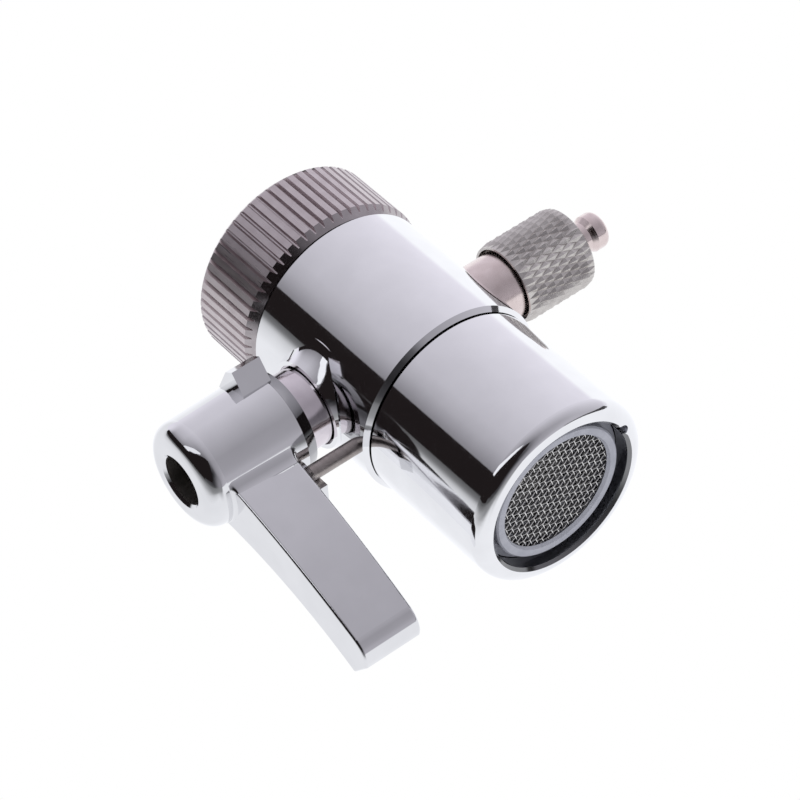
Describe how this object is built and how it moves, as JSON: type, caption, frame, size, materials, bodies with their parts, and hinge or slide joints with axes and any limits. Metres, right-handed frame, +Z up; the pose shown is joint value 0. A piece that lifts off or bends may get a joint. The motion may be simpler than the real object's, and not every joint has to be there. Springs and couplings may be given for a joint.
{
  "type": "faucet diverter valve",
  "caption": "Chromed three-way tap valve: ribbed swivel nut above, lever-turned plug across, aerator below and a barbed side outlet with a knurled nut.",
  "frame": {"origin": "centre of the swivel nut's mouth, where its thread starts", "axes": "+Z up along the body towards the tap, +X along the side outlet, lever on -X"},
  "size_m": [0.0642, 0.0266, 0.0527],
  "materials": {
    "chrome_plate": "bright chrome plate on brass",
    "satin_nickel": "satin nickel plate on brass",
    "knurled_nickel": "dull nickel plate, diamond knurl",
    "plain_brass": "turned brass",
    "pin_steel": "dull nickel pin",
    "plain_steel": "zinc-plated steel",
    "woven_steel": "bright stainless wire",
    "grey_plastic": "moulded grey plastic",
    "white_plastic": "moulded white plastic",
    "fibre_ring": "pressed red fibre",
    "black_rubber": "moulded rubber"
  },
  "bodies": {
    "valve": {"valve_body": "chrome_plate", "retaining_bush": "plain_brass", "bush_seal": "fibre_ring", "inlet_washer": "black_rubber", "core_sleeve": "white_plastic", "thrust_washer": "white_plastic", "bonnet": "satin_nickel", "stop_pin": "pin_steel", "aerator_housing": "chrome_plate", "aerator_seal": "black_rubber", "aerator_insert": "grey_plastic", "aerator_mesh": "woven_steel", "flow_disc": "white_plastic", "outlet_tail": "satin_nickel", "tail_oring": "black_rubber"},
    "inlet_nut": {"swivel_nut": "satin_nickel"},
    "handle": {"lever": "chrome_plate", "diverter_core": "plain_brass", "stem_oring": "black_rubber", "screw_washer": "plain_steel", "lever_screw": "plain_steel"},
    "tube_nut": {"compression_nut": "knurled_nickel"}
  },
  "joints": [
    {"name": "lever_turn", "type": "hinge", "parent": "valve", "child": "handle", "pos_m": [-0.022, 0, -0.02154], "axis": [1, 0, 0], "range_deg": [0, 90]},
    {"name": "inlet_nut_spin", "type": "hinge", "parent": "valve", "child": "inlet_nut", "pos_m": [0, 0, -0.005], "axis": [0, 0, 1], "continuous": true},
    {"name": "tube_nut_spin", "type": "hinge", "parent": "valve", "child": "tube_nut", "pos_m": [0.022, 0, -0.02154], "axis": [1, 0, 0], "continuous": true}
  ]
}
